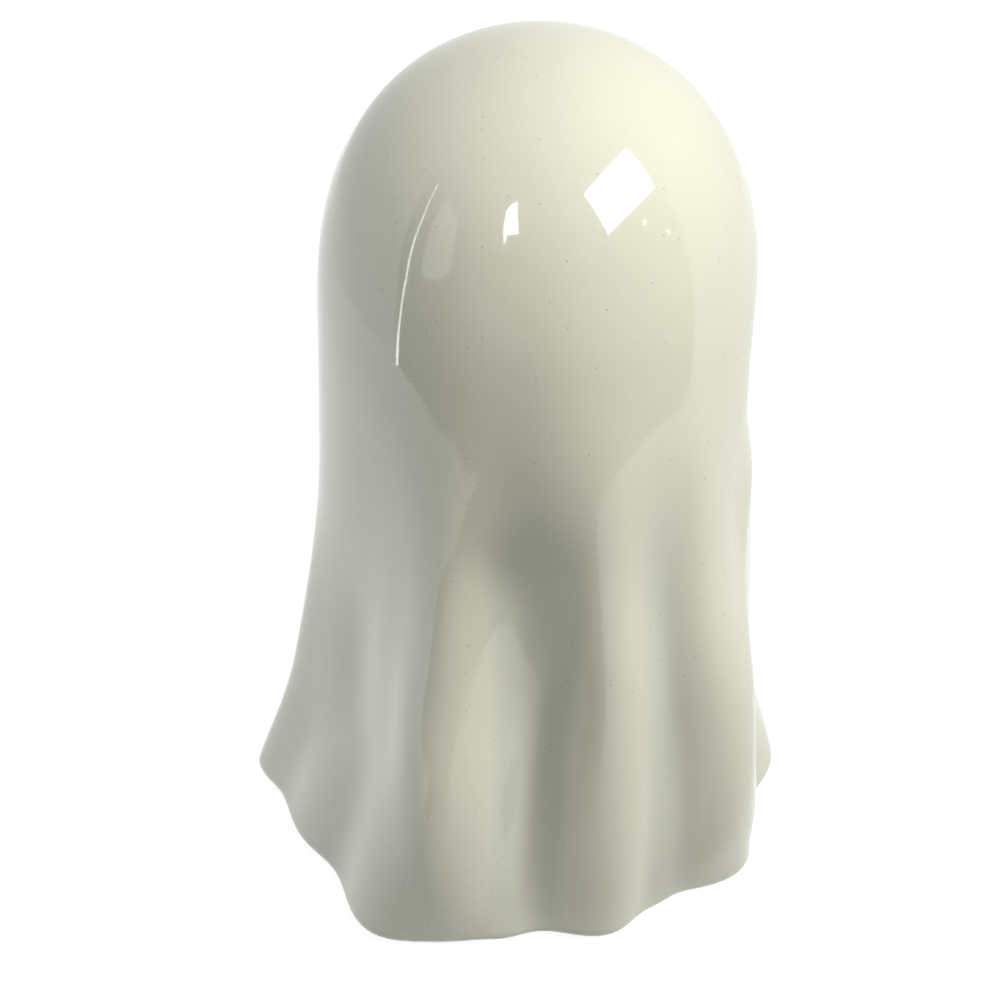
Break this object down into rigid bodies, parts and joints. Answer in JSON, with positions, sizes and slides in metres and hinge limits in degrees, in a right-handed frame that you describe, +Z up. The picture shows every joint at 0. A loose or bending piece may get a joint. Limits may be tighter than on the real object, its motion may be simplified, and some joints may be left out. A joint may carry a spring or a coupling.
{
  "type": "ceramic ghost figure",
  "caption": "Glazed ceramic sheet ghost, hollow, with folds down to a wavy hem, a cut-out face and a battery lamp that plugs into its base.",
  "frame": {"origin": "on the table under the middle of the figure, on the axis of the pour hole", "axes": "+Z up, -Y the way the face looks, +Y the folded back, +X the ghost's left seen from the back"},
  "size_m": [0.1138, 0.1103, 0.1658],
  "materials": {
    "glaze": "glossy ivory glaze",
    "felt": "dark felt",
    "housing": "fine matte moulding",
    "silicone": "milky silicone",
    "steel": "zinc plated",
    "diffuser": "frosted",
    "led_lens": "clear, warm",
    "tinned_wire": "tinned",
    "board": "solder mask",
    "resistor": "lacquer",
    "switch_metal": "stamped",
    "switch_knob": "satin",
    "cell_sleeve": "plain sleeve",
    "contact": "nickel plated",
    "red_sleeve": "smooth",
    "black_sleeve": "smooth"
  },
  "bodies": {
    "figure": {"ghost_shell": "glaze", "felt_pads": "felt"},
    "light_unit": {"light_housing": "housing", "grip_ring": "silicone", "lamp_cover": "housing", "cover_screws": "steel", "light_diffuser": "diffuser", "led": "led_lens", "led_leads": "tinned_wire", "circuit_board": "board", "series_resistor": "resistor", "switch_body": "switch_metal", "battery_rear": "cell_sleeve", "battery_front": "cell_sleeve", "positive_contact": "contact", "negative_contact": "contact", "bridge_contact": "contact", "red_wire": "red_sleeve", "black_wire": "black_sleeve"},
    "switch_slider": {"switch_slider": "switch_knob"},
    "battery_door": {"battery_door": "housing"},
    "door_screw": {"door_screw": "steel"}
  },
  "joints": [
    {"name": "lamp_pull", "type": "slide", "parent": "figure", "child": "light_unit", "axis": [0, 0, -1], "range_m": [0, 0.06]},
    {"name": "switch_slide", "type": "slide", "parent": "light_unit", "child": "switch_slider", "axis": [1, 0, 0], "range_m": [0, 0.002]},
    {"name": "door_hinge", "type": "hinge", "parent": "light_unit", "child": "battery_door", "pos_m": [0, 0.0098, 0.0018], "axis": [1, 0, 0], "range_deg": [0, 100]},
    {"name": "door_screw_turn", "type": "hinge", "parent": "battery_door", "child": "door_screw", "pos_m": [0, -0.0171, 0.0018], "axis": [0, 0, 1], "continuous": true}
  ]
}
